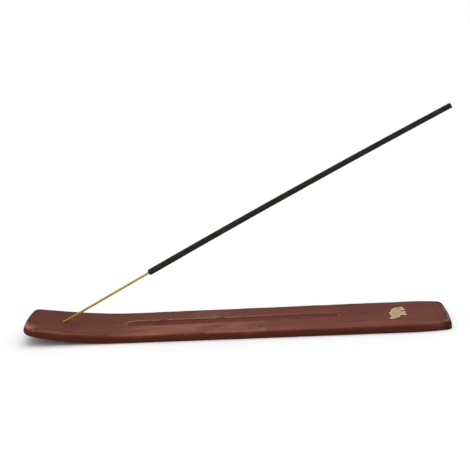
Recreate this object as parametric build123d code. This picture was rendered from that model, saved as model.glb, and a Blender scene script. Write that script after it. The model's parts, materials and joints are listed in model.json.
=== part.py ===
from build123d import *

import os
from math import cos, radians, sin, sqrt

# Incense stick holder: a sawn hardwood tray with one end turned up, a brass elephant let into the other end,
# and an incense stick that stands in a slanting hole and leans over the ash groove.
# Millimetres, +Z up. The origin is on the flat underside, half way along the tray and across it.
# -X is the upturned end with the stick hole, +X is the end with the elephant.

# Tray: plan outline
tray_length = 254.0
hole_end_width = 36.9
inlay_end_width = 39.2
hole_end_edge = 33.0
inlay_end_edge = 34.4
hole_end_shoulder = 18.0
inlay_end_shoulder = 17.0
end_bulge = 0.8
corner_radius = 4.6

# Tray: side profile
tray_thickness = 5.0
bend_length = 64.0
bend_rise = 7.2
hole_end_roll_length = 2.6
hole_end_roll_drop = 0.9
inlay_end_roll_length = 3.4
inlay_end_roll_drop = 1.4
top_edge_radius = 0.9
bottom_edge_radius = 0.6
end_roll_turn = 70.0
overrun = 2.0

# Ash groove
groove_length = 129.4
groove_width = 8.3
groove_depth = 1.9
groove_runout = 6.6
groove_from_hole_end = 59.6
groove_offset = 0.7
groove_skew = 0.35

# Stick hole
hole_diameter = 2.0
hole_depth = 5.5
hole_from_end = 22.6
stick_angle = 28.2

# Elephant inlay and the glue that holds it
inlay_length = 18.8
inlay_height = 10.9
inlay_thickness = 1.2
inlay_proud = 0.2
inlay_corner_radius = 0.2
inlay_edge_bevel = 0.12
inlay_from_end = 30.9
inlay_offset = 0.3
glue_gap = 0.25
glue_bed = 0.15
glue_recess = 0.08

# Incense stick
stick_length = 266.7
coat_length = 200.0
coat_base_diameter = 3.8
coat_tip_diameter = 3.25
coat_bevel = 0.5
coat_tip_cover = 1.2
core_diameter = 1.5
stick_droop = 2.0
coat_spans = 6

# Elephant outline, drawn facing left with its trunk raised. Each row is the end of a stretch and, where the
# stretch is round, a point half way along it, as shares of the inlay's length and height.
trunk_tip_share = (0.000, 0.915)
elephant_shares = [
    ((0.085, 1.000), None),
    ((0.175, 0.787), (0.136, 0.884)),
    ((0.372, 0.872), (0.270, 0.876)),
    ((0.472, 0.842), (0.423, 0.938)),
    ((0.600, 0.768), (0.533, 0.908)),
    ((0.946, 0.351), (0.822, 0.722)),
    ((0.997, 0.165), None),
    ((0.905, 0.074), (0.967, 0.062)),
    ((0.850, 0.160), None),
    ((0.812, 0.040), None),
    ((0.693, 0.075), (0.757, 0.000)),
    ((0.708, 0.195), None),
    ((0.589, 0.215), (0.649, 0.305)),
    ((0.592, 0.083), None),
    ((0.496, 0.035), (0.548, 0.000)),
    ((0.440, 0.160), None),
    ((0.380, 0.035), None),
    ((0.277, 0.092), (0.333, 0.002)),
    ((0.319, 0.217), None),
    ((0.222, 0.412), (0.294, 0.356)),
    ((0.130, 0.474), (0.166, 0.393)),
    (trunk_tip_share, (0.050, 0.668)),
]

# A wall counts as upright while its normal rises less than this
upright_share = 0.01

# Worked out from the sizes above
half_length = tray_length / 2
bend_x = bend_length - half_length
bend_radius = (bend_length**2 + bend_rise**2) / (2 * bend_rise)
top_bend_radius = bend_radius - tray_thickness
groove_x = groove_from_hole_end + groove_length / 2 - half_length
hole_x = hole_from_end - half_length
inlay_x = half_length - inlay_from_end
pocket_depth = inlay_thickness - inlay_proud + glue_bed
bare_length = stick_length - coat_length
stick_axis = Vector(cos(radians(stick_angle)), 0, sin(radians(stick_angle)))


def arc_radius(length, drop):
    """Radius of the arc that leaves a line smoothly and departs from it by drop over length."""
    return (length**2 + drop**2) / (2 * drop)


def arc_height(along, radius):
    """How far an arc of this radius has risen at a distance along the line it leaves."""
    return radius - sqrt(radius**2 - along**2)


def top_height(x):
    """Height of the tray's upper face at x, on the flat or on the bend."""
    return tray_thickness + arc_height(max(bend_x - x, 0), top_bend_radius)


def middle_height(x):
    """Height of the middle of the tray's thickness at x."""
    return arc_height(max(bend_x - x, 0), bend_radius) + tray_thickness / 2


def plan_outline():
    """The tray seen from above: tapered sides, shoulders that draw in, bulged ends and round corners."""
    hole_side = Vector(hole_end_shoulder - half_length, hole_end_width / 2)
    inlay_side = Vector(half_length - inlay_end_shoulder, inlay_end_width / 2)
    hole_corner = Vector(end_bulge - half_length, hole_end_edge / 2)
    inlay_corner = Vector(half_length - end_bulge, inlay_end_edge / 2)
    along = inlay_side - hole_side
    one_side = Curve() + [
        TangentArc(hole_side, hole_corner, tangent=-along),
        Line(hole_side, inlay_side),
        TangentArc(inlay_side, inlay_corner, tangent=along),
    ]
    ends = [
        ThreePointArc(hole_corner, (-half_length, 0), (hole_corner.X, -hole_corner.Y)),
        ThreePointArc(inlay_corner, (half_length, 0), (inlay_corner.X, -inlay_corner.Y)),
    ]
    outline = make_face(one_side + mirror(one_side, about=Plane.XZ) + ends)
    corners = outline.vertices().filter_by(lambda v: abs(v.X) > half_length - 2 * end_bulge)
    return fillet(corners, corner_radius)


def side_profile():
    """The tray seen from the side: flat, then bent up on concentric arcs, with both upper ends rolled off."""
    past_end = bend_length + overrun
    roll_x = hole_end_roll_length - half_length
    lean = (bend_x - roll_x) / top_bend_radius
    bend_end = (-half_length - overrun, arc_height(past_end, bend_radius))
    roll_start = (roll_x, top_height(roll_x))
    flat_end = (half_length - inlay_end_roll_length, tray_thickness)
    hole_roll_radius = arc_radius(hole_end_roll_length, hole_end_roll_drop)
    inlay_roll_radius = arc_radius(inlay_end_roll_length, inlay_end_roll_drop)
    lower_bend = TangentArc((bend_x, 0), bend_end, tangent=(-1, 0))
    upper_bend = TangentArc((bend_x, tray_thickness), roll_start, tangent=(-1, 0))
    hole_roll = JernArc(roll_start, (-sqrt(1 - lean**2), lean), hole_roll_radius, end_roll_turn)
    inlay_roll = JernArc(flat_end, (1, 0), inlay_roll_radius, -end_roll_turn)
    lower_end = (half_length + overrun, 0)
    return make_face(
        Curve()
        + [
            Line(lower_end, (bend_x, 0)),
            lower_bend,
            Line(bend_end, hole_roll @ 1),
            hole_roll,
            upper_bend,
            Line((bend_x, tray_thickness), flat_end),
            inlay_roll,
            Line(inlay_roll @ 1, lower_end),
        ]
    )


def rim_edges(blank, upper):
    """The edges of the tray's upright walls that run round its upper rim, or round its lower rim."""
    walls = blank.faces().filter_by(lambda face: abs(face.normal_at().Z) < upright_share)
    rims = walls.edges().filter_by(Axis.Z, reverse=True)
    return rims.filter_by(lambda edge: (edge.center().Z > middle_height(edge.center().X)) == upper)


def tray_blank():
    """The board itself: the side profile sawn to the plan outline, with its rims eased."""
    width = max(hole_end_width, inlay_end_width)
    height = top_height(-half_length) + overrun
    plank = extrude(Plane.XZ * side_profile(), amount=width, both=True)
    blank = plank & extrude(plan_outline(), amount=height, both=True)
    blank = fillet(rim_edges(blank, upper=True), top_edge_radius)
    return fillet(rim_edges(blank, upper=False), bottom_edge_radius)


def groove_cutter():
    """A long round-bottomed cutter whose ends rise out of the wood on arcs."""
    section_radius = arc_radius(groove_width / 2, groove_depth)
    runout_radius = arc_radius(groove_runout, groove_depth)
    reach = groove_runout + overrun
    straight = groove_length / 2 - groove_runout
    tip = Vector(straight + reach, section_radius - arc_height(reach, runout_radius))
    right_end = TangentArc((straight, section_radius), tip, tangent=(1, 0))
    left_end = TangentArc((-straight, section_radius), (-tip.X, tip.Y), tangent=(-1, 0))
    half_section = make_face(
        Curve()
        + [
            Line((-straight, section_radius), (straight, section_radius)),
            right_end,
            Line(tip, (tip.X, 0)),
            Line((tip.X, 0), (-tip.X, 0)),
            Line((-tip.X, 0), (-tip.X, tip.Y)),
            left_end,
        ]
    )
    centre_height = tray_thickness + section_radius - groove_depth
    place = Pos(groove_x, groove_offset, centre_height) * Rot(0, 0, groove_skew)
    return place * revolve(half_section, Axis.X)


def stick_plane(along):
    """A plane square to the stick's straight part, at a distance along it from the hole's mouth."""
    mouth = Vector(hole_x, 0, top_height(hole_x))
    return Plane(origin=mouth + stick_axis * along, x_dir=(0, 1, 0), z_dir=stick_axis)


def hole_cutter():
    """The slanting blind hole for the stick."""
    bore = extrude(Circle(hole_diameter / 2), amount=hole_depth + overrun)
    return stick_plane(-hole_depth) * bore


def elephant_face():
    """The elephant's outline, lying with its back towards the groove and its feet towards the end."""

    def place(share):
        across = inlay_offset + inlay_length * (share[0] - 0.5)
        return Vector(inlay_x + inlay_height * (0.5 - share[1]), across)

    stretches = []
    start = place(trunk_tip_share)
    for end_share, middle_share in elephant_shares:
        end = place(end_share)
        if middle_share is None:
            stretches.append(Line(start, end))
        else:
            stretches.append(ThreePointArc(start, place(middle_share), end))
        start = end
    return make_face(Curve() + stretches)


def elephant_inlay():
    """The brass elephant, a little proud of the wood and bevelled round its upper edge."""
    outline = elephant_face()
    outline = fillet(outline.vertices(), inlay_corner_radius)
    plate = extrude(outline, amount=inlay_thickness, dir=(0, 0, 1))
    plate = Pos(0, 0, tray_thickness + inlay_proud - inlay_thickness) * plate
    upper_edges = plate.faces().sort_by(Axis.Z)[-1].edges()
    return chamfer(upper_edges, inlay_edge_bevel)


def pocket(height):
    """The recess cut for the elephant, filled from its floor to a height."""
    outline = offset(elephant_face(), glue_gap, kind=Kind.ARC)
    return Pos(0, 0, tray_thickness - pocket_depth) * extrude(outline, amount=height, dir=(0, 0, 1))


def wooden_tray():
    """The board with its groove, its stick hole and the recess for the elephant."""
    return tray_blank() - groove_cutter() - hole_cutter() - pocket(pocket_depth + overrun)


def inlay_adhesive():
    """The glue under and round the elephant."""
    return pocket(pocket_depth - glue_recess) - elephant_inlay()


def coat_arc():
    """The stick's middle line inside the coat, which hangs down a little under its own weight."""
    start = stick_plane(bare_length - hole_depth)
    radius = coat_length / radians(stick_droop)
    bow = JernArc((0, 0), (1, 0), radius, -stick_droop)
    along_stick = Plane(origin=start.origin, x_dir=stick_axis, z_dir=(0, -1, 0))
    return along_stick * bow


def coat_section(path, share):
    """The coat's round section square to its middle line, at a share of the coat's length."""
    diameter = coat_base_diameter + (coat_tip_diameter - coat_base_diameter) * share
    return Plane(origin=path @ share, x_dir=(0, 1, 0), z_dir=path % share) * Circle(diameter / 2)


def bamboo_core():
    """The bamboo splint: bare from the hole's floor to the coat, then inside the coat nearly to its tip."""
    bow = coat_arc()
    covered = bow.trim(0, 1 - coat_tip_cover / coat_length)
    bare = Line(stick_plane(-hole_depth).origin, bow @ 0)
    return sweep(stick_plane(-hole_depth) * Circle(core_diameter / 2), path=Wire([bare, covered]))


def rim_cutter(end, inward, diameter):
    """What comes off the rim of a round end: a ring with a conical inside."""
    height = coat_bevel + overrun
    radius = diameter / 2
    stand = (Align.CENTER, Align.CENTER, Align.MIN)
    ring = Cylinder(radius + 2 * overrun, height, align=stand)
    kept = Cone(radius - coat_bevel, radius + overrun, height, align=stand)
    return Plane(origin=end, z_dir=inward) * (ring - kept)


def incense_coating():
    """The burning paste: a tapering sleeve, closed at the tip, rolled round the splint."""
    bow = coat_arc()
    sections = [coat_section(bow, i / coat_spans) for i in range(coat_spans + 1)]
    sleeve = loft(sections, ruled=True)
    base_rim = rim_cutter(bow @ 0, bow % 0, coat_base_diameter)
    tip_rim = rim_cutter(bow @ 1, -(bow % 1), coat_tip_diameter)
    return sleeve - base_rim - tip_rim - bamboo_core()


os.makedirs("parts", exist_ok=True)
pieces = {
    "wooden_tray": wooden_tray(),
    "inlay_adhesive": inlay_adhesive(),
    "elephant_inlay": elephant_inlay(),
    "bamboo_core": bamboo_core(),
    "incense_coating": incense_coating(),
}
for node, piece in pieces.items():
    export_step(piece, f"parts/{node}.step")
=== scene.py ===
import json
import math

import bmesh
import bpy
import numpy as np
from mathutils import Matrix, Vector, noise


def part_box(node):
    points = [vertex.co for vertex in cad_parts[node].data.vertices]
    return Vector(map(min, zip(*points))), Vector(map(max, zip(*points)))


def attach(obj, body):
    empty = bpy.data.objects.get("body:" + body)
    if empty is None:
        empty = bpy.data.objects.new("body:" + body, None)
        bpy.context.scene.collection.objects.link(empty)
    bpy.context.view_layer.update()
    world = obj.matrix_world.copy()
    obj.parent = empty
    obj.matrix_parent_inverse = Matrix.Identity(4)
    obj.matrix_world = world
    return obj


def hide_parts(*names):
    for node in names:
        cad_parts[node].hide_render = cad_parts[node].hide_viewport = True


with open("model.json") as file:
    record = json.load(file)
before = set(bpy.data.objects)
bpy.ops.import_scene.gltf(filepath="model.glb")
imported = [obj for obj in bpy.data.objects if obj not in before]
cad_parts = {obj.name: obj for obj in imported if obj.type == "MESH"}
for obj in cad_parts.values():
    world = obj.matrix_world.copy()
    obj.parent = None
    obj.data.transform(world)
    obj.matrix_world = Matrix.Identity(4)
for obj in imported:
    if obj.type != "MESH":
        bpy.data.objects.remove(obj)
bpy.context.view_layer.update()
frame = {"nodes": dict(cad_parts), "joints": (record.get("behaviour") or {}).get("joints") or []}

# Incense stick holder, in the frame of its solids: +X towards the elephant, +Z up, -Y towards the viewer.
# Sizes are in millimetres, and MM turns them into metres. Angles are in degrees.
MM = 0.001

# Tray outline, seen from above
# Keys are an end, -1 at the hole and 1 at the elephant, and a side, -1 near and 1 far.
edge_margin = 0.05
half_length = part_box("wooden_tray")[1][0] / MM - edge_margin
tray_thickness = 5.0
hole_end_half_width = 18.5
inlay_end_half_width = 19.68
draw_ins = {(-1, -1): 1.9, (-1, 1): 1.9, (1, -1): 3.0, (1, 1): 2.0}
shoulders = {(-1, -1): 18, (-1, 1): 18, (1, -1): 25, (1, 1): 16}
corner_radii = {(-1, -1): 5.2, (-1, 1): 5.6, (1, -1): 3.8, (1, 1): 5.6}
end_bulge = 0.7

# Nicks in the long edges, by side: place along the tray, depth, reach
edge_nicks = {
    -1: [(-88, 0.16, 1.4), (-31, 0.14, 1.2), (39, 0.16, 1.6)],
    1: [(-52, 0.14, 1.3), (57, 0.26, 1.5), (67, 0.20, 1.2), (76, 0.30, 1.4), (97, 0.24, 1.7)],
}

# Tray profile, seen from the side
# Rolls, end rims and the nose are a reach from the end and a size.
bend_x = -63.0
bend_radius = 288.0
end_rolls = {-1: (2.6, 0.9), 1: (3.4, 1.4)}
top_rim_radius = 0.85
end_rims = {-1: (32, 2.0), 1: (22, 1.1)}
end_rim_full = 2.0
bottom_rim_radius = 0.55
nose_rim = (16, 0.9)
nose_rim_full = 1.0
rim_wall_share = 0.85

# Ash groove
groove_start_x = -67.4
groove_end_x = 62.0
groove_depth = 1.9
groove_runout = 6.6
groove_overrun_share = 1.4
groove_half_width = 4.15
groove_narrowing_share = 0.12
groove_offset = 0.7
groove_skew = 0.35
groove_edge_wear = 0.16

# Unevenness of hand work: depth, reach, seed
# In a table of shares, depth is a share of the size that varies.
edge_wavers = [(0.10, 45, 3), (0.05, 13, 11)]
edge_waver_inset = 0.10
face_wavers = [(0.06, 7, 2)]
face_waver_inset = 0.06
face_waver_stretch = 3.0
face_calm_end = 8.0
face_calm_inlay = (5.0, 1.0)
rim_waver_shares = [(0.40, 17, 4), (0.24, 5, 9)]
groove_wavers = [(0.16, 26, 5)]
groove_width_shares = [(0.02, 9, 23)]
groove_wear_shares = [(0.70, 6, 31)]
inlay_dents = [(0.03, 2.4, 3)]
seed_steps = (1.0, 7.3, -1.0)

# Stick hole and stick
stick_axis = np.array(frame["joints"][0]["axis"])
stick_droop = 2.0
foot_slice = 0.05
hole_radius = 1.0
hole_depth = 5.5
hole_overrun = 3.0
bare_length = 66.7
coat_length = 200.0
coat_base_radius = 1.9
coat_tip_radius = 1.625
coat_tip_cover = 1.2
coat_tip_flats = (0.6, 0.2)
coat_rim = 0.7
coat_tip_rim = 0.45
coat_bore_gap = 0.06
core_radius = 0.75
core_end_gap = 0.02
skin_gap = 0.01

# Textures of the stick's skins: depth as a share of the radius, stretch along the stick, reach, seed
core_skin_shares = [(0.08, 40, 0.55, 1), (0.06, 60, 0.16, 6)]
coat_skin_shares = [(0.030, 3, 1.6, 3), (0.045, 1, 0.42, 8)]

# Inlay, and its engraved lines as chains of shares right and up on the elephant when it stands upright
recess_cut_height = 4.0
engraved_width = 0.20
engraved_depth = 0.10
inlay_top_skin = (0.3, 0.1)
inlay_clearance = 0.0001
stroke_roundings = 3
stroke_cut_share = 0.25
engraved_shares = {
    "ear": [(0.43, 0.80), (0.49, 0.70), (0.47, 0.56), (0.41, 0.47), (0.37, 0.52), (0.37, 0.64)],
    "eye": [(0.236, 0.652), (0.248, 0.656)],
    "mouth": [(0.13, 0.49), (0.20, 0.51)],
    "front leg": [(0.45, 0.18), (0.455, 0.30), (0.45, 0.44)],
    "elbow": [(0.545, 0.22), (0.55, 0.36), (0.53, 0.46)],
    "flank": [(0.63, 0.44), (0.635, 0.56), (0.62, 0.66)],
    "back leg": [(0.80, 0.16), (0.79, 0.32), (0.74, 0.46)],
    "tail": [(0.955, 0.20), (0.90, 0.42)],
}

# Mesh spacing, counts and creases
long_steps = 430
side_points = 700
end_points = 40
corner_points = 13
groove_zone = 6.5
groove_spacing = 0.26
plain_spacing = 0.75
lower_rim_angles = (90, 67, 45, 22, 0)
wall_shares = (0.25, 0.5, 0.75)
upper_rim_points = 8
groove_edge_points = 130
rim_line_step = 5
rim_zone = 4.0
hole_segments = 28
core_fine_step = 0.6
core_fine_overlap = 4.0
core_coarse_start = 5.0
core_coarse_points = 60
core_segments = 32
coat_step = 0.33
coat_rim_gap = 0.3
coat_tip_gap = 0.2
coat_rim_points = 8
coat_segments = 40
inlay_voxel = 0.11
weld_gap = 0.001
least_square = 1e-12
distance_batch = 4000
tray_crease = 35
core_crease = 50
coat_crease = 60
inlay_crease = 70

# Colours of the wood, in linear light
wood_dark = (0.088, 0.0198, 0.0122)
wood_mid = (0.125, 0.0315, 0.0190)
wood_red = (0.150, 0.0376, 0.0220)
wood_light = (0.190, 0.0560, 0.0335)
wood_olive = (0.112, 0.0420, 0.0200)
wood_warm = (0.158, 0.0340, 0.0185)
wood_purple = (0.118, 0.0290, 0.0275)
wood_pore = (0.026, 0.0060, 0.0040)
# The warm scuff colour is lighter than the wear alone: in part a painted sheen of the worn surface seen low
warm_scuff_and_sheen = (0.250, 0.0850, 0.0510)
scuff_grey = (0.110, 0.0475, 0.0340)
scuff_olive = (0.122, 0.0500, 0.0330)
scuff_pale = (0.360, 0.1750, 0.1150)
groove_red = (0.145, 0.0340, 0.0185)
groove_shade = (0.046, 0.0075, 0.0048)
stain_dark = (0.024, 0.0050, 0.0035)
recess_brown = (0.034, 0.0130, 0.0050)
rim_red = (0.110, 0.0200, 0.0120)
wall_dark = (0.042, 0.0095, 0.0062)
wall_stain_and_shade = (0.066, 0.0138, 0.0066)
end_brown = (0.068, 0.0255, 0.0155)
edge_tan = (0.480, 0.2750, 0.1750)
rubbed_orange = (0.290, 0.0860, 0.0380)
rubbed_red = (0.250, 0.0600, 0.0310)
worn_rim_highlight = (0.300, 0.1700, 0.1350)
rim_tan = (0.300, 0.1600, 0.0950)

# Colours of the other materials
brass_pale = (0.68, 0.46, 0.30)
brass_gold = (0.40, 0.295, 0.130)
brass_olive = (0.27, 0.215, 0.085)
brass_dark = (0.17, 0.105, 0.045)
glue_dark = (0.028, 0.013, 0.006)
glue_dusty = (0.085, 0.042, 0.018)
bamboo_brown = (0.22, 0.130, 0.016)
bamboo_straw = (0.39, 0.275, 0.034)
bamboo_pale = (0.53, 0.400, 0.075)
bamboo_amber = (0.38, 0.190, 0.026)
paste_dark = (0.0085, 0.0075, 0.0055)
paste_mid = (0.0200, 0.0178, 0.0132)
paste_ash = (0.0480, 0.0430, 0.0330)
paste_fleck = (0.100, 0.086, 0.064)

# Colours that follow a noise: position, colour
wood_ramp = [(0.36, wood_dark), (0.46, wood_mid), (0.54, wood_red), (0.64, wood_light)]
glue_ramp = [(0.35, glue_dark), (0.7, glue_dusty)]
bamboo_ramp = [(0.30, bamboo_brown), (0.47, bamboo_straw), (0.62, bamboo_pale)]
paste_ramp = [(0.32, paste_dark), (0.52, paste_mid), (0.68, paste_ash)]
ramp_middle_share = 0.5

# The mix node's colour sockets, whose names its other sockets share
mix_base, mix_paint, mix_result = 6, 7, 2

# Noises: reach along and across the grain, detail, roughness, seed
wood_bands = (55, 5.5, 3, 0.55, 0)
wood_fibres = (24, 0.7, 5, 0.65, 3)
end_mottle = (1.5, 2, 4, 0.7, 14)
brass_scratches = (0.10, 3, 3, 0.6, 4)
glue_dust = (0.5, 0.5, 4, 0.7, 0)
bamboo_fibres = (26, 0.16, 4, 0.6, 0)
bamboo_bands = (9, 0.9, 3, 0.5, 6)
paste_grains = (0.35, 0.35, 5, 0.7, 0)
paste_clouds = (7, 2, 3, 0.5, 4)

# Patches: a noise, and the limits between which it comes to show
wood_pores = ((3.2, 0.26, 2, 0.6, 5), (0.57, 0.68))
scuff_speckle = ((1.5, 0.55, 5, 0.7, 2), (0.46, 0.66))
scuff_wash = ((16, 7, 3, 0.6, 4), (0.22, 0.60))
saw_marks = ((1, 4.5, 3, 0.6, 8), (0.50, 0.66))
lip_breaks = ((4.5, 2, 4, 0.7, 12), (0.33, 0.53))
rim_patches = ((14, 5, 2, 0.5, 0), (0.3, 0.6))
rim_chips = ((3.2, 2, 4, 0.65, 21), (0.60, 0.70))

# Where the wood is worn and stained, and where shade and light are painted on it
# x and y are places on the board, and span is x either way. groove, hole and recess are distances from
# these, and groove is negative inside it. rim is the distance in from the outer edge less the depth below
# the upper face, in radii of the rim, so it is negative on the wall.
# A pair is limits between which a place comes to count, or a middle and a reach if its name ends in line.
# A stretch is the limits at its start and at its end.
scuff_stretch_x = ((-80, -46), (21, 13))
scuff_groove = (0.2, 1.2)
scuff_near_y = (2, -2)
scuff_far_y = (-2, 2)
scuff_patch = ((-15, 11), (17, 10))
groove_floor = (0, -0.8)
groove_line = (-0.7, 0.7)
groove_line_stretch_x = ((-62, -42), (64, 34))
lip_line = (0.04, 0.34)
lip_stretch_x = ((-70, -66), (30, 6))
end_span = (119.8, 123.4)
near_rim_y = (-8, -13)
hole_end_x = (-119, -123)
inlay_end_x = (119, 123)
end_rim = (1.15, 0.35)

# Layers, in painting order: colour, strength, the places that make up where it shows
stain_layers = [
    (wood_olive, 0.50, {"patches": ((40, 13, 2, 0.5, 9), (0.50, 0.68))}),
    (wood_warm, 0.45, {"patches": ((34, 10, 2, 0.5, 17), (0.52, 0.70))}),
    (wood_purple, 0.50, {"patches": ((28, 8, 2, 0.5, 33), (0.50, 0.66))}),
    (wood_light, 0.22, {"patches": ((5, 0.28, 2, 0.6, 27), (0.58, 0.70))}),
]
end_layers = [
    (rim_red, 0.45, {"x_line": (119.4, 1.4)}),
    (end_brown, 0.60, {"span": end_span}),
    (wall_dark, 0.45, {"span": end_span, "patches": (end_mottle, (0.48, 0.38))}),
    (scuff_pale, 0.14, {"span": end_span, "patches": (end_mottle, (0.54, 0.66))}),
]
wall_layers = [
    # Painted shade: the whole board darker towards the far side
    (wood_dark, 0.42, {"y": (-4, 20)}),
    # A lighter band along the near rim: wear, with a painted highlight
    (warm_scuff_and_sheen, 0.45, {"rim_line": (0.9, 1.3), "y": near_rim_y, "patches": rim_patches}),
    # Painted light: a redder band on the lower half of the rounded rim, where it faces the front light
    (rim_red, 0.75, {"rim": (-0.1, -1.0)}),
    # Darker stain with painted shade on the walls, and on the near wall and rounding under the raised hole
    # end
    (wall_stain_and_shade, 0.85, {"rim": (-1.1, -2.6)}),
    (wall_stain_and_shade, 0.70, {"x": (-100, -116), "y": near_rim_y, "rim": (0.1, -0.6)}),
]
rim_layers = [
    # Painted highlight on the worn rounding at the hole end's near corner
    (worn_rim_highlight, 0.9, {"x": hole_end_x, "y": (-6, -12), "rim_line": (0.60, 0.6)}),
    (rim_tan, 0.7, {"x": inlay_end_x, "y": (11, 7), "rim_line": (1.05, 0.5), "patches": rim_patches}),
    (edge_tan, 0.55, {"rim_line": (0.15, 0.9), "patches": rim_chips}),
    # Painted shade inside the stick hole, reaching a little past its mouth
    (stain_dark, 0.9, {"hole": (1.8, 1.1)}),
    (recess_brown, 0.65, {"recess": (0.7, 0.05)}),
]
brass_layers = [
    (brass_gold, 0.65, {"edge": (0.55, 1.3)}),
    (brass_olive, 0.55, {"edge": (0.55, 1.3), "patches": ((3, 2, 4, 0.6, 1), (0.34, 0.66))}),
]
bamboo_layers = [(bamboo_amber, 0.6, {"z": (24, 8)})]
paste_layers = [(paste_fleck, 0.5, {"patches": ((0.55, 0.55, 2, 0.5, 9), (0.66, 0.74))})]

# Stretches of the dark rim, darker stain with painted shade on the rounded edge: strength, places
stained_shaded_rims = [
    (0.75, {"y": (8, 13), "rim": (2.4, 0.5)}),
    (0.85, {"x": inlay_end_x, "rim": end_rim}),
    (0.85, {"x": hole_end_x, "y": (-14, -8), "rim": end_rim}),
]

# Single marks on the wood, in painting order: place in plan, reach along and across, colour, strength
wood_marks = [
    # Painted shade: a broad darkening over the raised hole end
    ((-110, 10), (66, 44), wood_dark, 0.52),
    ((13, -10.5), (16, 8.5), scuff_olive, 0.75),
    ((-121.8, -13.4), (5.4, 5), rubbed_orange, 0.80),
    ((-23, 14.6), (4, 3.4), rubbed_orange, 0.60),
    ((80, -14.6), (34, 4.6), rubbed_red, 0.52),
    ((28, -17), (22, 3.2), rubbed_red, 0.32),
    ((-42, 16.4), (34, 2.6), scuff_grey, 0.45),
    ((16.5, -15.5), (1.7, 4.8), scuff_pale, 0.30),
    ((-47, 3), (4.5, 2.4), stain_dark, 0.80),
    ((-108.7, 8.2), (2.8, 1.8), stain_dark, 0.35),
    # Painted shade: a dark spot at the stick hole's mouth, wider across the board
    ((-105.6, 0.3), (1.5, 2.6), stain_dark, 0.85),
    ((16, -12.6), (3.6, 2.8), stain_dark, 0.45),
    ((69, 17.2), (12, 3.2), stain_dark, 0.55),
]
mark_fall_shares = (1.0, 0.2)
mark_wander = (5.0, 5.0, 5.0)
mark_wander_middle = (0.5, 0.5, 0.5)
mark_wander_noise = {"Scale": 0.35, "Detail": 3}

# Paints: colour, strength
pore_paint = (wood_pore, 0.30)
near_scuff_and_sheen_paint = (warm_scuff_and_sheen, 0.74)
far_scuff_paint = (scuff_grey, 0.50)
patch_scuff_paint = (warm_scuff_and_sheen, 0.35)
pale_scuff_paint = (scuff_pale, 1.0)
groove_floor_paint = (groove_red, 0.50)
groove_shade_paint = (groove_shade, 1.0)
lip_paint = (edge_tan, 1.0)
rim_stain_and_shade_paint = (wall_dark, 1.0)
engraved_paint = (brass_dark, 0.50)

# Shares of what goes into a sum, and what the sum starts from
wood_blend_shares = (0.5, 0.5)
scuff_mark_shares = (0.55, 0.38)
scuff_pale_start = 0.45
scuff_pale_shares = (0.25, 0.45)
groove_line_start = 0.08
groove_line_shares = (0.24,)
lip_start = 0.36
lip_shares = (0.54,)
bamboo_blend_shares = (0.6, 0.4)
paste_blend_shares = (0.6, 0.4)

# Surfaces: roughness and what adds to it, the bump's strength and full rise, and the shader's constants
wood_roughness = 0.40
wood_roughness_shares = (0.12, 0.20, 0.16)
wood_height_shares = (0.6, -0.5, 0.35)
wood_bump = (0.75, 0.14)
wood_constants = {"Specular IOR Level": 0.08}
brass_roughness = 0.46
brass_roughness_shares = (0.2,)
brass_bump = (0.25, 0.03)
brass_constants = {"Metallic": 0.5}
glue_bump = (0.4, 0.06)
glue_constants = {"Roughness": 0.6, "Specular IOR Level": 0.15}
bamboo_roughness = 0.36
bamboo_roughness_shares = (0.25,)
bamboo_bump = (0.4, 0.06)
bamboo_constants = {"Specular IOR Level": 0.12}
paste_bump = (0.6, 0.12)
paste_constants = {"Roughness": 0.88, "Specular IOR Level": 0.15}

# Floor, lights and camera. A light is the direction that it comes from, its spread and its strength.
floor_size = 30000.0
floor_constants = {"Base Color": (0.90, 0.90, 0.90, 1.0), "Roughness": 0.9}
suns = {"overhead": ((0.12, 0.10, 1.0), 62, 1.65), "front": ((-0.5, -0.7, 0.75), 50, 0.40)}
surround_constants = {"Color": (1.0, 1.0, 1.0, 1.0), "Strength": 0.54}
camera_distance = 593.6
camera_azimuth = 2.78
camera_elevation = 21.78
camera_roll = -3.27
camera_target = (2.0, 0.0, 58.0)
camera_lens = 75


def smooth_step(low, high, value):
    """0 at low, 1 at high, with a smooth rise between."""
    share = np.clip((value - low) / (high - low), 0, 1)
    return share * share * (3 - 2 * share)


def smooth_noise(places, reach, seed):
    """Smooth noise from -1 to 1 at each place, with features about reach across."""
    shift = Vector([seed * step for step in seed_steps])
    return np.array([noise.noise(Vector(place) / reach + shift) for place in places])


def uneven(places, wavers):
    """The sum of several sorts of unevenness at each place."""
    return sum(depth * smooth_noise(places, reach, seed) for depth, reach, seed in wavers)


def uneven_along(x, wavers, shift=0):
    """Unevenness along the tray. shift changes the seeds, so that one table serves both sides."""
    x = np.atleast_1d(x)
    places = np.stack([x, 0 * x, 0 * x], axis=1)
    return uneven(places, [(depth, reach, seed + shift) for depth, reach, seed in wavers])


def arc_height(along, radius):
    """How far an arc of this radius has left the line that it starts from."""
    return radius - np.sqrt(np.maximum(radius**2 - along**2, 0))


def arc_radius(length, drop):
    """Radius of the arc that leaves a line smoothly and is drop away from it after length."""
    return (length**2 + drop**2) / (2 * drop)


def box_of(name):
    """A node's lowest and highest corners."""
    return [np.array(corner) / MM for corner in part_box(name)]


def new_object(name, data):
    """A new object in the scene."""
    made = bpy.data.objects.new(name, data)
    bpy.context.collection.objects.link(made)
    return made


def mesh_object(name, points, faces):
    """A new object from points in millimetres."""
    mesh = bpy.data.meshes.new(name)
    mesh.from_pydata((points * MM).tolist(), [], [face.tolist() for face in faces])
    mesh.validate()
    return new_object(name, mesh)


def object_of(name, shape):
    """A new object from an editable mesh, which is used up."""
    mesh = bpy.data.meshes.new(name)
    shape.to_mesh(mesh)
    shape.free()
    return new_object(name, mesh)


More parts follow.
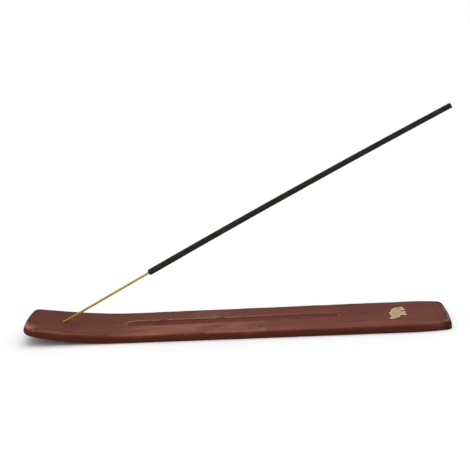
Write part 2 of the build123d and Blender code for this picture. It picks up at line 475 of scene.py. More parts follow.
def welded(mesh):
    """A mesh in editable form, with doubled points joined."""
    shape = bmesh.new()
    shape.from_mesh(mesh)
    bmesh.ops.remove_doubles(shape, verts=shape.verts, dist=weld_gap * MM)
    return shape


def mesh_points(made):
    """An object's vertices in millimetres."""
    flat = np.empty(len(made.data.vertices) * 3)
    made.data.vertices.foreach_get("co", flat)
    return flat.reshape(-1, 3) / MM


def set_field(made, name, values):
    """Stores one number per vertex for the material to read."""
    stored = made.data.attributes.new(name, "FLOAT", "POINT")
    stored.data.foreach_set("value", np.asarray(values, dtype=np.float32))


def shade_smooth(made, crease):
    """Smooth shading with sharp edges where faces meet at more than crease degrees."""
    made.data.shade_smooth()
    made.data.set_sharp_from_angle(angle=math.radians(crease))


def apply_modifier(made, kind, **settings):
    """Adds a modifier and turns its result into the object's mesh."""
    modifier = made.modifiers.new(kind.lower(), kind)
    for key, value in settings.items():
        setattr(modifier, key, value)
    graph = bpy.context.evaluated_depsgraph_get()
    result = bpy.data.meshes.new_from_object(made.evaluated_get(graph))
    made.modifiers.clear()
    made.data = result


def segment_distance(places, segments):
    """Plan distance from each place to the nearest of several straight segments."""
    starts, steps = segments[:, 0], segments[:, 1] - segments[:, 0]
    squares = np.maximum((steps**2).sum(axis=1), least_square)
    nearest = np.empty(len(places))
    for first in range(0, len(places), distance_batch):
        batch = slice(first, first + distance_batch)
        away = places[batch, None] - starts
        share = np.clip((away * steps).sum(axis=2) / squares, 0, 1)
        gap = away - share[..., None] * steps
        nearest[batch] = np.sqrt((gap**2).sum(axis=2).min(axis=1))
    return nearest


def ring_faces(number):
    """Quads between rings, from the numbers of their points, one row per ring."""
    after = np.roll(number, -1, axis=1)
    return np.stack([number[:-1], after[:-1], after[1:], number[1:]], axis=-1).reshape(-1, 4)


def loop_segments(loop):
    """A closed loop's sides as pairs of points."""
    return np.stack([loop, np.roll(loop, -1, axis=0)], axis=1)


# Tray

def half_width(x, side):
    """Half the tray's width on one side, with drawn-in ends, nicks and an inward waver."""
    straight = np.interp(x, [-half_length, half_length], [hole_end_half_width, inlay_end_half_width])
    drawn = 0
    for end in (-1, 1):
        shoulder = shoulders[end, side]
        share = np.clip((end * x - half_length + shoulder) / shoulder, 0, 1)
        drawn = drawn + draw_ins[end, side] * share**2
    for middle, depth, reach in edge_nicks[side]:
        drawn = drawn + depth * np.exp(-(((x - middle) / reach) ** 2))
    return straight - drawn + uneven_along(x, edge_wavers, side) - edge_waver_inset


def half_outline(side):
    """One long side of the outline, between the middles of the two ends."""
    corner_x = half_length - end_bulge
    turn = np.linspace(0, math.pi / 2, corner_points)
    stretches = []
    for end in (-1, 1):
        radius = corner_radii[end, side]
        edge = half_width(np.array([end * (corner_x - radius)]), side)[0]
        across = np.linspace(0, edge - radius, end_points, endpoint=False)
        bulge_x = end * (corner_x + end_bulge * (1 - (across / (edge - radius)) ** 2))
        turn_x = end * (corner_x - radius + radius * np.cos(turn))
        turn_y = edge - radius + radius * np.sin(turn)
        stretch = np.stack([np.append(bulge_x, turn_x), np.append(across, turn_y)], axis=1)
        stretches.append(stretch if end < 0 else stretch[::-1])
    x = np.linspace(stretches[0][-1, 0], stretches[1][0, 0], side_points)[1:-1]
    middle = np.stack([x, half_width(x, side)], axis=1)
    return np.concatenate([stretches[0], middle, stretches[1]]) * [1, side]


def resample(points, shares):
    """Points at the given shares of a line's length."""
    steps = np.linalg.norm(np.diff(points, axis=0), axis=1)
    length = np.append(0, np.cumsum(steps))
    return np.stack([np.interp(shares * length[-1], length, points[:, k]) for k in (0, 1)], axis=1)


def cross_shares():
    """Shares across the tray, closer together over the groove than beside it."""
    half = half_width(np.array([0.0]), 1)[0]
    inner = np.linspace(-groove_zone, groove_zone, int(2 * groove_zone / groove_spacing) + 1)
    outer = np.linspace(groove_zone, half, int((half - groove_zone) / plain_spacing) + 1)[1:]
    places = np.concatenate([-outer[::-1], inner, outer])
    return (places + half) / (2 * half)


def corner_middle(points, end, side):
    """The number of the outline's point at the middle of a corner."""
    x = end * (half_length - end_bulge - corner_radii[end, side] * (1 - math.sqrt(0.5)))
    return int(np.argmin(np.abs(points[:, 0] - x)))


def tray_outline():
    """The outline as a closed loop, in four runs between the middles of its corners."""
    near, far = half_outline(-1), half_outline(1)
    near_start, near_stop = (corner_middle(near, end, -1) for end in (-1, 1))
    far_start, far_stop = (corner_middle(far, end, 1) for end in (-1, 1))
    long_shares, end_shares = np.linspace(0, 1, long_steps + 1), cross_shares()
    hole_run = resample(np.concatenate([near[near_start::-1], far[1:far_start + 1]]), end_shares)
    inlay_run = resample(np.concatenate([near[near_stop:], far[far_stop:-1][::-1]]), end_shares)
    near_run = resample(near[near_start:near_stop + 1], long_shares)
    far_run = resample(far[far_start:far_stop + 1], long_shares)
    return np.concatenate([near_run[:-1], inlay_run[:-1], far_run[:0:-1], hole_run[:0:-1]])


def bottom_height(x):
    """Height of the underside."""
    return arc_height(np.maximum(bend_x - x, 0), bend_radius)


def top_height(x):
    """Height of the upper face before the groove, with both ends rolled off."""
    height = tray_thickness + arc_height(np.maximum(bend_x - x, 0), bend_radius - tray_thickness)
    for end, (length, drop) in end_rolls.items():
        past = np.maximum(end * x - half_length + length, 0)
        height = height - arc_height(past, arc_radius(length, drop))
    return height


def groove_middle(x):
    """Where the groove's middle line runs, with the waver of the tool that cut it."""
    centre = (groove_start_x + groove_end_x) / 2
    slope = math.tan(math.radians(groove_skew))
    return groove_offset + (x - centre) * slope + uneven_along(x, groove_wavers)


def groove_section(x):
    """The cutter's radius at x, its axis's height over the upper face, and how much wider it cuts."""
    radius = arc_radius(groove_half_width, groove_depth)
    past = np.maximum(groove_start_x + groove_runout - x, x - groove_end_x + groove_runout)
    overrun = groove_runout * groove_overrun_share
    lifted = arc_height(np.clip(past, 0, overrun), arc_radius(groove_runout, groove_depth))
    share = (x - groove_start_x) / (groove_end_x - groove_start_x)
    widen = 1 + groove_narrowing_share * (0.5 - share) + uneven_along(x, groove_width_shares)
    return radius - lifted, radius - groove_depth, widen


def groove_half(x):
    """Half the groove's width at x."""
    radius, lift, widen = groove_section(x)
    return np.sqrt(np.maximum(radius**2 - lift**2, 0)) * widen


def groove_drop(x, y):
    """How far the groove lies below the upper face, rounded over at its worn edges."""
    radius, lift, widen = groove_section(x)
    across = np.abs(y - groove_middle(x)) / widen
    floor = np.sqrt(np.maximum(radius**2 - across**2, 0)) - lift
    soft = groove_edge_wear * (1 + uneven_along(x, groove_wear_shares))
    return 0.5 * (floor + np.sqrt(floor**2 + soft**2))


def groove_edge():
    """The groove's edge as a closed line in plan."""
    share = 0.5 - 0.5 * np.cos(np.linspace(0, math.pi, groove_edge_points))
    x = groove_start_x + share * (groove_end_x - groove_start_x)
    half, middle = groove_half(x), groove_middle(x)
    near, far = (np.stack([x, middle + side * half], axis=1) for side in (-1, 1))
    return np.concatenate([near, far[-2:0:-1]])


def near_inlay(places):
    """1 over the inlay, falling to 0 a few millimetres away from it."""
    low, high = (corner[:2] for corner in box_of("inlay_adhesive"))
    outside = np.linalg.norm(places - np.clip(places, low, high), axis=1)
    return smooth_step(*face_calm_inlay, outside)


def upper_face(places):
    """Height of the finished upper face at places in plan."""
    x, y = places[:, 0], places[:, 1]
    stretched = np.stack([x / face_waver_stretch, y, 0 * x], axis=1)
    waver = uneven(stretched, face_wavers) - face_waver_inset
    calm = smooth_step(0, face_calm_end, half_length - np.abs(x)) * (1 - near_inlay(places))
    return top_height(x) + waver * calm - groove_drop(x, y)


def coons(runs):
    """Inner points of the patch between four runs, in rows across the tray."""
    near, inlay, far, hole = runs
    s = np.linspace(0, 1, len(near))[1:-1, None, None]
    t = cross_shares()[1:-1, None]
    sides = (1 - t) * near[1:-1, None] + t * far[1:-1, None]
    ends = (1 - s) * hole[1:-1] + s * inlay[1:-1]
    corners = (1 - s) * ((1 - t) * near[0] + t * far[0]) + s * ((1 - t) * near[-1] + t * far[-1])
    return (sides + ends - corners).reshape(-1, 2)


def runs_of(loop):
    """A closed loop, or its points' numbers, cut into near side, inlay end, far side and hole end."""
    cross_steps = len(cross_shares()) - 1
    cuts = np.cumsum([0, long_steps, cross_steps, long_steps, cross_steps])
    closed = np.concatenate([loop, loop[:1]])
    near, inlay, far, hole = (closed[first:last + 1] for first, last in zip(cuts[:-1], cuts[1:]))
    return near, inlay, far[::-1], hole[::-1]


def inward_normals(loop):
    """Unit normals that point into an anticlockwise loop."""
    along = np.roll(loop, -1, axis=0) - np.roll(loop, 1, axis=0)
    normals = np.stack([-along[:, 1], along[:, 0]], axis=1)
    return normals / np.linalg.norm(normals, axis=1, keepdims=True)


def lower_rim_radii(loop):
    """Radius of the lower rim along the outline, larger under the raised hole end."""
    reach, growth = nose_rim
    return bottom_rim_radius + growth * smooth_step(reach, nose_rim_full, half_length + loop[:, 0])


def rim_radii(loop):
    """Radius of the upper rim along the outline, uneven, and larger towards both ends."""
    places = np.column_stack([loop, np.zeros(len(loop))])
    radii = top_rim_radius * (1 + uneven(places, rim_waver_shares))
    for end, (reach, growth) in end_rims.items():
        radii = radii + growth * smooth_step(reach, end_rim_full, half_length - end * loop[:, 0])
    wall = upper_face(loop) - bottom_height(loop[:, 0]) - lower_rim_radii(loop)
    return np.minimum(radii, rim_wall_share * wall)


def tray_rings(loop):
    """Rings round the tray, from the border of its underside up to that of its upper face."""
    inward = inward_normals(loop)
    upper_radius, lower_radius = rim_radii(loop), lower_rim_radii(loop)
    rings = []
    for angle in np.radians(lower_rim_angles):
        plan = loop + inward * (lower_radius * (1 - math.cos(angle)))[:, None]
        height = bottom_height(plan[:, 0]) + lower_radius * (1 - math.sin(angle))
        rings.append(np.column_stack([plan, height]))
    wall_low, wall_high = rings[-1][:, 2], upper_face(loop) - upper_radius
    for share in wall_shares:
        rings.append(np.column_stack([loop, wall_low + (wall_high - wall_low) * share]))
    for angle in np.linspace(0, math.pi / 2, upper_rim_points):
        plan = loop + inward * (upper_radius * (1 - math.cos(angle)))[:, None]
        height = upper_face(plan) - upper_radius * (1 - math.sin(angle))
        rings.append(np.column_stack([plan, height]))
    return rings


def patch_faces(ring_start, inner_start):
    """Quads of a patch with a ring as its border and inner points that follow by rows."""
    cross_count = len(cross_shares())
    ring = ring_start + np.arange(2 * (long_steps + cross_count - 1))
    number = np.zeros((long_steps + 1, cross_count), int)
    number[:, 0], number[-1], number[:, -1], number[0] = runs_of(ring)
    inner = number[1:-1, 1:-1]
    inner[:] = inner_start + np.arange(inner.size).reshape(inner.shape)
    corners = [number[:-1, :-1], number[1:, :-1], number[1:, 1:], number[:-1, 1:]]
    return np.stack(corners, axis=-1).reshape(-1, 4)


def make_board(loop):
    """The board as one closed mesh, still without its hole and recess."""
    rings = tray_rings(loop)
    lower = coons(runs_of(rings[0][:, :2]))
    upper = coons(runs_of(rings[-1][:, :2]))
    points = rings + [
        np.column_stack([lower, bottom_height(lower[:, 0])]),
        np.column_stack([upper, upper_face(upper)]),
    ]
    lower_start = len(rings) * len(loop)
    faces = [
        ring_faces(np.arange(lower_start).reshape(len(rings), len(loop))),
        patch_faces(0, lower_start)[:, ::-1],
        patch_faces(lower_start - len(loop), lower_start + len(lower)),
    ]
    return mesh_object("tray_wood", np.concatenate(points), np.concatenate(faces))


def recess_cutter():
    """A block on the floor of the inlay's recess, and the recess's outline."""
    shape = welded(frame["nodes"]["inlay_adhesive"].data)
    floor = min(vertex.co.z for vertex in shape.verts)
    others = [face for face in shape.faces if face.calc_center_median().z > floor + weld_gap * MM]
    bmesh.ops.delete(shape, geom=others, context="FACES")
    border = [edge for edge in shape.edges if edge.is_boundary]
    outline = np.array([[(end.co.x, end.co.y) for end in edge.verts] for edge in border]) / MM
    raised = bmesh.ops.extrude_face_region(shape, geom=shape.faces[:])["geom"]
    for vertex in (part for part in raised if isinstance(part, bmesh.types.BMVert)):
        vertex.co.z += recess_cut_height * MM
    bmesh.ops.recalc_face_normals(shape, faces=shape.faces[:])
    return object_of("recess_cutter", shape), outline


def stick_foot():
    """The middle of the stick's lower end."""
    core = mesh_points(frame["nodes"]["bamboo_core"])
    along = core @ stick_axis
    end = core[along < along.min() + foot_slice]
    return (end.min(axis=0) + end.max(axis=0)) / 2


def hole_cutter():
    """A round pin along the stick's line, from the hole's floor to above the tray."""
    length = hole_depth + hole_overrun
    middle = stick_foot() + stick_axis * length / 2
    turn = Vector(stick_axis).to_track_quat("Z", "Y").to_matrix().to_4x4()
    place = Matrix.Translation(Vector(middle) * MM) @ turn
    radius = hole_radius * MM
    sizes = {"segments": hole_segments, "radius1": radius, "radius2": radius, "depth": length * MM}
    shape = bmesh.new()
    bmesh.ops.create_cone(shape, cap_ends=True, matrix=place, **sizes)
    return object_of("hole_cutter", shape)


def cut(made, cutter):
    """Takes the cutter's volume out of an object and removes the cutter."""
    apply_modifier(made, "BOOLEAN", operation="DIFFERENCE", solver="EXACT", object=cutter)
    bpy.data.objects.remove(cutter)


def store_wear_and_shade_fields(tray, loop, recess_outline):
    """Distances that the wood's wear and painted shade follow, from the rim, groove, recess and hole."""
    points = mesh_points(tray)
    plan = points[:, :2]
    x, y, z = points.T
    inside = segment_distance(plan, loop_segments(loop[::rim_line_step]))
    below = np.maximum(top_height(x) - z, 0)
    from_rim = np.where(inside < rim_zone, inside - below, inside)
    set_field(tray, "rim", from_rim / rim_radii(plan))
    in_groove = np.abs(y - groove_middle(x)) < groove_half(x)
    from_groove = segment_distance(plan, loop_segments(groove_edge()))
    set_field(tray, "groove", np.where(in_groove, -from_groove, from_groove))
    set_field(tray, "recess", segment_distance(plan, recess_outline))
    away = points - stick_foot()
    along = np.clip(away @ stick_axis, 0, hole_depth)
    set_field(tray, "hole", np.linalg.norm(away - np.outer(along, stick_axis), axis=1))


def make_tray():
    """The finished board, with its groove, stick hole and recess for the inlay."""
    loop = tray_outline()
    tray = make_board(loop)
    cutter, recess_outline = recess_cutter()
    cut(tray, cutter)
    cut(tray, hole_cutter())
    store_wear_and_shade_fields(tray, loop, recess_outline)
    shade_smooth(tray, tray_crease)
    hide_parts("wooden_tray")
    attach(tray, "holder")
    return tray, recess_outline


# Stick

def stick_path(along):
    """Points along the stick, straight and then drooping, and its two cross directions."""
    side = np.array([0.0, 1.0, 0.0])
    up = np.cross(stick_axis, side)
    radius = coat_length / math.radians(stick_droop)
    straight = np.minimum(along, bare_length)
    angle = np.maximum(along - bare_length, 0) / radius
    points = stick_foot() + np.outer(straight + radius * np.sin(angle), stick_axis)
    points = points - np.outer(radius * (1 - np.cos(angle)), up)
    across = np.outer(np.cos(angle), up) + np.outer(np.sin(angle), stick_axis)
    return points, across, side


def drawn_shares(along, turn, radius, skin):
    """How far a skin's textures draw in the points of a stick, as shares of its radius."""
    along, turn = np.broadcast_arrays(along[:, None], turn)
    drawn = 0
    for depth, stretch, reach, seed in skin:
        places = np.stack([along / stretch, radius * np.cos(turn), radius * np.sin(turn)], axis=-1)
        texture = smooth_noise(places.reshape(-1, 3), reach, seed).reshape(along.shape)
        drawn = drawn + depth * (1 - texture) / 2
    return drawn


def turned_on_path(name, along, radii, segments, skin_radius, skin):
    """A closed turned shape on the stick's path, with a textured skin."""
    points, across, side = stick_path(along)
    turn = np.linspace(0, 2 * math.pi, segments, endpoint=False)
    radius = radii[:, None] * (1 - drawn_shares(along, turn, skin_radius, skin))
    ring = across[:, None] * np.cos(turn)[:, None] + side * np.sin(turn)[:, None]
    vertices = points[:, None] + ring * radius[..., None]
    number = np.arange(len(along) * segments).reshape(len(along), segments)
    faces = [*ring_faces(number), number[0][::-1], number[-1]]
    return mesh_object(name, vertices.reshape(-1, 3), faces)


def make_bamboo():
    """The split bamboo core: not quite round, with long fibre ridges."""
    last = bare_length + coat_length - coat_tip_cover
    bare = np.arange(core_end_gap, bare_length + core_fine_overlap, core_fine_step)
    hidden = np.linspace(bare_length + core_coarse_start, last - core_end_gap, core_coarse_points)
    along = np.concatenate([bare, hidden])
    radii = np.full(len(along), core_radius - skin_gap)
    core = turned_on_path("bamboo_splint", along, radii, core_segments, core_radius, core_skin_shares)
    shade_smooth(core, core_crease)
    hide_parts("bamboo_core")
    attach(core, "stick")
    return core


def make_coat():
    """The rolled incense paste: a grainy tube round the core, rounded at both ends."""
    first, last = bare_length, bare_length + coat_length - edge_margin
    turn = np.linspace(0, math.pi / 2, coat_rim_points)
    back, inset = 1 - np.sin(turn), 1 - np.cos(turn)
    bore_along = [last - coat_tip_cover, first + coat_rim / 2]
    bore_radii = np.full(len(bore_along), core_radius + coat_bore_gap)
    base_along, base_radii = first + coat_rim * back[::-1], coat_base_radius - coat_rim * inset[::-1]
    side_along = np.arange(first + coat_rim + coat_rim_gap, last - coat_tip_rim - coat_tip_gap, coat_step)
    side_radii = np.interp(side_along, [first, last], [coat_base_radius, coat_tip_radius])
    tip_along, tip_radii = last - coat_tip_rim * back, coat_tip_radius - coat_tip_rim * inset
    along = np.concatenate([bore_along, base_along, side_along, tip_along, [last, last]])
    radii = np.concatenate([bore_radii, base_radii, side_radii, tip_radii, coat_tip_flats]) - skin_gap
    coat = turned_on_path("incense_coat", along, radii, coat_segments, coat_base_radius, coat_skin_shares)
    shade_smooth(coat, coat_crease)
    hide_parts("incense_coating")
    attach(coat, "stick")
    return coat


# Inlay

def inlay_place(right, up):
    """Points on the elephant in plan, from shares right and up as it stands."""
    low, high = box_of("elephant_inlay")
    return np.stack([high[0] - up * (high[0] - low[0]), low[1] + right * (high[1] - low[1])], axis=-1)


def rounded_line(points):
    """A chain of points with its corners cut off several times over."""
    near, far = 1 - stroke_cut_share, stroke_cut_share
    for _ in range(stroke_roundings):
        early = near * points[:-1] + far * points[1:]
        late = far * points[:-1] + near * points[1:]
        inner = np.stack([early, late], axis=1).reshape(-1, 2)
        points = np.concatenate([points[:1], inner, points[-1:]])
    return points


def engraved_share(points):
    """1 along the engraved lines, falling to 0 beside them."""
    share = np.zeros(len(points))
    for stroke in engraved_shares.values():
        line = rounded_line(inlay_place(*np.array(stroke).T))
        gap = segment_distance(points[:, :2], np.stack([line[:-1], line[1:]], axis=1))
        share = np.maximum(share, np.exp(-((gap / engraved_width) ** 2)))
    return share


def make_inlay(outline):
    """The elephant cut from brass sheet, with softened edges and shallow engraved lines."""
    inlay = object_of("elephant_brass", welded(frame["nodes"]["elephant_inlay"].data))
    apply_modifier(inlay, "REMESH", mode="VOXEL", voxel_size=inlay_voxel * MM)
    points = mesh_points(inlay)
    low, high = box_of("elephant_inlay")
    engraved = engraved_share(points)
    dents = np.maximum(uneven(points, inlay_dents), 0)
    skin_low, skin_high = (high[2] - depth for depth in inlay_top_skin)
    on_top = smooth_step(skin_low, skin_high, points[:, 2])
    points[:, 2] -= (engraved_depth * engraved + dents) * on_top
    points = np.clip(points, low + inlay_clearance, high - inlay_clearance)
    inlay.data.vertices.foreach_set("co", (points * MM).ravel())
    inlay.data.update()
    set_field(inlay, "engraved", engraved * on_top)
    set_field(inlay, "edge", segment_distance(points[:, :2], outline) * on_top)
    shade_smooth(inlay, inlay_crease)
    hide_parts("elephant_inlay")
    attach(inlay, "holder")
    return inlay


tray, recess_outline = make_tray()
bamboo = make_bamboo()
coat = make_coat()
inlay = make_inlay(recess_outline)


# Materials

def connect(made, inputs):
    """Gives a node's sockets their values, or joins other nodes' sockets to them."""
    for key, value in inputs.items():
        if isinstance(value, bpy.types.NodeSocket):
            made.id_data.links.new(value, made.inputs[key])
        else:
            made.inputs[key].default_value = value


def node(kind, inputs, **settings):
    """A new shader node, in the tree of the sockets that feed it."""
    tree = next(value.id_data for value in inputs.values() if isinstance(value, bpy.types.NodeSocket))
    made = tree.nodes.new("ShaderNode" + kind)
    for key, value in settings.items():
        setattr(made, key, value)
    connect(made, inputs)
    return made


def field(tree, name):
    """A number stored on the mesh."""
    made = tree.nodes.new("ShaderNodeAttribute")
    made.attribute_name = name
    return made.outputs["Fac"]


def math_of(operation, *values):
    """The result of one sum on numbers."""
    return node("Math", dict(enumerate(values)), operation=operation).outputs[0]


def vector_of(operation, *values):
    """The result of one sum on vectors."""
    return node("VectorMath", dict(enumerate(values)), operation=operation).outputs[0]


def millimetres(tree):
    """The object's own coordinates in millimetres."""
    place = tree.nodes.new("ShaderNodeTexCoord").outputs["Object"]
    return vector_of("DIVIDE", place, (MM, MM, MM))


def product(*values):
    """The product of several numbers."""
    result = values[0]
    for value in values[1:]:
        result = math_of("MULTIPLY", result, value)
    return result


def weighted(values, shares, start=0.0):
    """The sum of several numbers times their shares, added to start."""
    for value, share in zip(values, shares):
        start = math_of("MULTIPLY_ADD", value, share, start)
    return start


def rise(value, limits):
    """0 at the first limit and 1 at the second, smooth between. The first may be the larger."""
    low, high = limits
    inputs = {"Value": value, "From Min": low, "From Max": high}
    return node("MapRange", inputs, interpolation_type="SMOOTHSTEP").outputs[0]


def between(value, stretch):
    """1 on a stretch, falling to 0 before its start and after its end."""
    return product(*(rise(value, limits) for limits in stretch))


def ridge(value, line):
    """1 where value is at the line's middle, falling to 0 at its reach on either side."""
    middle, reach = line
    away = math_of("ABSOLUTE", math_of("SUBTRACT", value, middle))
    return rise(away, (reach, 0.0))


def grain(place, sort):
    """Noise of one sort, with its own reach along X and across it."""
    along, across, detail, roughness, seed = sort
    inputs = {"Vector": place, "Scale": (1 / along, 1 / across, 1 / across), "Location": (seed, seed, seed)}
    moved = node("Mapping", inputs).outputs[0]
    inputs = {"Vector": moved, "Scale": 1.0, "Detail": detail, "Roughness": roughness}
    return node("TexNoise", inputs).outputs["Fac"]


def patches(place, sort):
    """Noise that comes to show between two limits."""
    noise_sort, limits = sort
    return rise(grain(place, noise_sort), limits)


def spot(place, centre, reach):
    """1 round a point in plan, falling to 0 at reach along X and Y."""
    scale = (1 / reach[0], 1 / reach[1], 0.0)
    shift = (-centre[0] / reach[0], -centre[1] / reach[1], 0.0)
    moved = node("Mapping", {"Vector": place, "Scale": scale, "Location": shift}).outputs[0]
    away = node("VectorMath", {0: moved}, operation="LENGTH").outputs["Value"]
    return rise(away, mark_fall_shares)


def colour_of(rgb):
    """A colour socket's value."""
    return (*rgb, 1.0)


def ramp(value, stops):
    """A colour that runs through stops of position and colour."""
    made = node("ValToRGB", {"Fac": value})
    elements = made.color_ramp.elements
    while len(elements) < len(stops):
        elements.new(ramp_middle_share)
    for element, (position, rgb) in zip(elements, stops):
        element.position = position
        element.color = colour_of(rgb)
    return made.outputs["Color"]


def painted(base, paint, *shares):
    """A paint laid over a colour, as thick as its own strength times the shares."""
    rgb, strength = paint
    inputs = {0: product(*shares, strength), mix_base: base, mix_paint: colour_of(rgb)}
    return node("Mix", inputs, data_type="RGBA").outputs[mix_result]


def shares_of(values, places):
    """How fully each of several places counts."""
    shares = []
    for name, pair in places.items():
        if name == "patches":
            shares.append(patches(values["place"], pair))
        elif name.endswith("_line"):
            shares.append(ridge(values[name.removesuffix("_line")], pair))
        else:
            shares.append(rise(values[name], pair))
    return shares


def layered(values, colour, layers):
    """Layers painted over a colour, each where all its places count."""
    for rgb, strength, places in layers:
        colour = painted(colour, (rgb, strength), *shares_of(values, places))
    return colour


def bumped(height, bump):
    """A normal bent by a height, whose full rise is the bump's reach."""
    strength, reach = bump
    inputs = {"Height": height, "Strength": strength, "Distance": reach * MM}
    return node("Bump", inputs).outputs["Normal"]


def dress(target, name, constants, look=None):
    """Gives an object a new material, with constant inputs and those that its look makes."""
    made = bpy.data.materials.new(name)
    made.use_nodes = True
    inputs = look(made.node_tree) if look else {}
    connect(made.node_tree.nodes["Principled BSDF"], inputs | constants)
    target.data.materials.clear()
    target.data.materials.append(made)


def wood_values(tree):
    """What the wood's wear and painted shade follow: places on the board and distances stored on the mesh.
    """
    place = millimetres(tree)
    x, y, _ = node("SeparateXYZ", {0: place}).outputs
    values = {"place": place, "x": x, "y": y, "span": math_of("ABSOLUTE", x)}
    return values | {name: field(tree, name) for name in ("rim", "groove", "hole", "recess")}


def wood_base(values):
    """The stained wood before wear: bands and fibres along the board, stains, flecks and pores."""
    place = values["place"]
    bands, fibres = grain(place, wood_bands), grain(place, wood_fibres)
    colour = ramp(weighted((bands, fibres), wood_blend_shares), wood_ramp)
    colour = layered(values, colour, stain_layers)
    pores = patches(place, wood_pores)
    return painted(colour, pore_paint, pores), fibres, pores


def wood_scuffs(values, colour):
    """The worn stretch beside the groove, warmer on the near side, where it is also painted lighter as
    sheen, and greyer on the far side.
    """
    place, y = values["place"], values["y"]
    outside = rise(values["groove"], scuff_groove)
    near, far = rise(y, scuff_near_y), rise(y, scuff_far_y)
    wash, saw = patches(place, scuff_wash), patches(place, saw_marks)
    rub = product(between(values["x"], scuff_stretch_x), outside, wash)
    patch = product(outside, spot(place, *scuff_patch))
    # Near side: scuff wear, painted lighter in part as sheen
    colour = painted(colour, near_scuff_and_sheen_paint, rub, near)
    colour = painted(colour, far_scuff_paint, rub, far)
    colour = painted(colour, patch_scuff_paint, patch, wash)
    marks = weighted((patches(place, scuff_speckle), saw), scuff_mark_shares)
    pale = weighted((near, patch), scuff_pale_shares, scuff_pale_start)
    return painted(colour, pale_scuff_paint, rub, marks, pale), rub, saw


def wood_spots(place, colour):
    """Single marks, such as rubbed patches, dark smears and painted shade, with ragged edges."""
    wander = node("TexNoise", {"Vector": place} | mark_wander_noise).outputs["Color"]
    push = vector_of("SUBTRACT", wander, mark_wander_middle)
    moved = vector_of("MULTIPLY_ADD", push, mark_wander, place)
    for centre, reach, rgb, strength in wood_marks:
        colour = painted(colour, (rgb, strength), spot(moved, centre, reach))
    return colour


def wood_groove(values, colour):
    """The groove: redder inside, with painted shade in lines under its edges and pale worn lips."""
    x, groove = values["x"], values["groove"]
    stain = weighted((between(x, groove_line_stretch_x),), groove_line_shares, groove_line_start)
    colour = painted(colour, groove_floor_paint, rise(groove, groove_floor))
    # Painted shade in lines under the groove's edges
    colour = painted(colour, groove_shade_paint, ridge(groove, groove_line), stain)
    rubbed = weighted((between(x, lip_stretch_x),), lip_shares, lip_start)
    worn = product(ridge(groove, lip_line), rubbed, patches(values["place"], lip_breaks))
    return painted(colour, lip_paint, worn), worn


def wood_rim_stain_and_shade(values, colour):
    """Darker stain and painted shade on the rim along the far side and round the ends, no darker where two
    stretches meet.
    """
    share = 0.0
    for strength, places in stained_shaded_rims:
        share = math_of("MAXIMUM", share, product(*shares_of(values, places), strength))
    return painted(colour, rim_stain_and_shade_paint, share)


def wood_look(tree):
    """Red-brown stained wood, scuffed beside the groove and rubbed along its edges, with painted shade and
    light on its rims, walls and hole.
    """
    values = wood_values(tree)
    colour, fibres, pores = wood_base(values)
    colour, rub, saw = wood_scuffs(values, colour)
    colour = layered(values, colour, end_layers)
    colour = wood_spots(values["place"], colour)
    colour, worn = wood_groove(values, colour)
    # Rims and walls: wear, darker stain, painted shade and painted light
    colour = layered(values, colour, wall_layers)
    # Darker stain with painted shade along the far rim and round the ends
    colour = wood_rim_stain_and_shade(values, colour)
    colour = layered(values, colour, rim_layers)
    rough = weighted((rub, worn, fibres), wood_roughness_shares, wood_roughness)
    height = weighted((fibres, pores, product(rub, saw)), wood_height_shares)
    return {"Base Color": colour, "Roughness": rough, "Normal": bumped(height, wood_bump)}


def brass_look(tree):
    """Pale brass sheet: olive tarnish inside, a rubbed paler edge and darker engraved lines."""
    values = {"place": millimetres(tree), "edge": field(tree, "edge")}
    scratches = grain(values["place"], brass_scratches)
    colour = layered(values, colour_of(brass_pale), brass_layers)
    colour = painted(colour, engraved_paint, field(tree, "engraved"))
    rough = weighted((scratches,), brass_roughness_shares, brass_roughness)
    return {"Base Color": colour, "Roughness": rough, "Normal": bumped(scratches, brass_bump)}


def glue_look(tree):
    """Dark glue with dust in it."""
    dust = grain(millimetres(tree), glue_dust)
    return {"Base Color": ramp(dust, glue_ramp), "Normal": bumped(dust, glue_bump)}


def bamboo_look(tree):
    """Split bamboo: straw yellow with brown and pale fibres, and amber towards its foot."""
    place = millimetres(tree)
    lean = {"Vector": place, "Angle": math.asin(stick_axis[2])}
    turned = node("VectorRotate", lean, rotation_type="Y_AXIS").outputs[0]
    fibres, bands = grain(turned, bamboo_fibres), grain(turned, bamboo_bands)
    colour = ramp(weighted((fibres, bands), bamboo_blend_shares), bamboo_ramp)
    colour = layered({"z": node("SeparateXYZ", {0: place}).outputs[2]}, colour, bamboo_layers)
    rough = weighted((fibres,), bamboo_roughness_shares, bamboo_roughness)
    return {"Base Color": colour, "Roughness": rough, "Normal": bumped(fibres, bamboo_bump)}


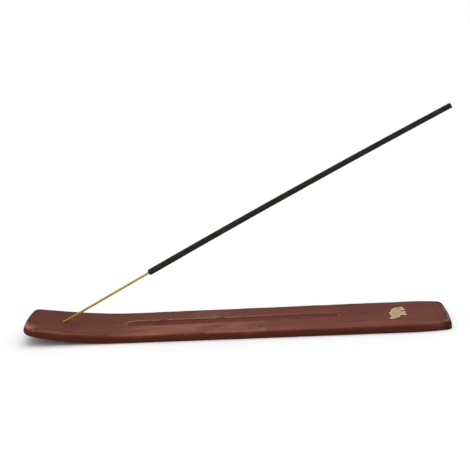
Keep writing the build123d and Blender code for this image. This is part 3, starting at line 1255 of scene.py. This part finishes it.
def paste_look(tree):
    """Charcoal incense paste: matt, grainy, with brown and ashen flecks."""
    place = millimetres(tree)
    grains, clouds = grain(place, paste_grains), grain(place, paste_clouds)
    colour = ramp(weighted((grains, clouds), paste_blend_shares), paste_ramp)
    colour = layered({"place": place}, colour, paste_layers)
    return {"Base Color": colour, "Normal": bumped(grains, paste_bump)}


dress(tray, "stained_wood", wood_constants, wood_look)
dress(inlay, "brass_sheet", brass_constants, brass_look)
dress(frame["nodes"]["inlay_adhesive"], "dark_glue", glue_constants, glue_look)
dress(bamboo, "bamboo", bamboo_constants, bamboo_look)
dress(coat, "incense_paste", paste_constants, paste_look)


# Stage, light and camera

def make_stage():
    """A plain pale floor that runs out of sight."""
    bpy.ops.mesh.primitive_plane_add(size=floor_size * MM, location=(0, 0, 0))
    floor = bpy.context.object
    floor.name = "floor"
    dress(floor, "floor_paint", floor_constants)


def make_lights():
    """A broad light overhead, a weaker one from the front left, and a pale surround."""
    for name, (direction, spread, strength) in suns.items():
        light = bpy.data.lights.new(name, "SUN")
        light.angle = math.radians(spread)
        light.energy = strength
        new_object(name, light).rotation_euler = Vector(direction).to_track_quat("Z", "Y").to_euler()
    world = bpy.data.worlds.new("surround")
    world.use_nodes = True
    connect(world.node_tree.nodes["Background"], surround_constants)
    bpy.context.scene.world = world
    bpy.context.scene.view_settings.view_transform = "Standard"


def make_camera():
    """The photograph's view: from the near side, a little above, and turned slightly."""
    azimuth, elevation = math.radians(camera_azimuth), math.radians(camera_elevation)
    level = math.cos(elevation)
    direction = Vector((math.sin(azimuth) * level, -math.cos(azimuth) * level, math.sin(elevation)))
    place = direction * camera_distance * MM
    turn = (Vector(camera_target) * MM - place).to_track_quat("-Z", "Y").to_matrix()
    camera = bpy.data.cameras.new("camera")
    camera.lens = camera_lens
    viewer = new_object("camera", camera)
    viewer.location = place
    viewer.rotation_euler = (turn @ Matrix.Rotation(math.radians(camera_roll), 3, "Z")).to_euler()
    bpy.context.scene.camera = viewer


make_stage()
make_lights()
make_camera()
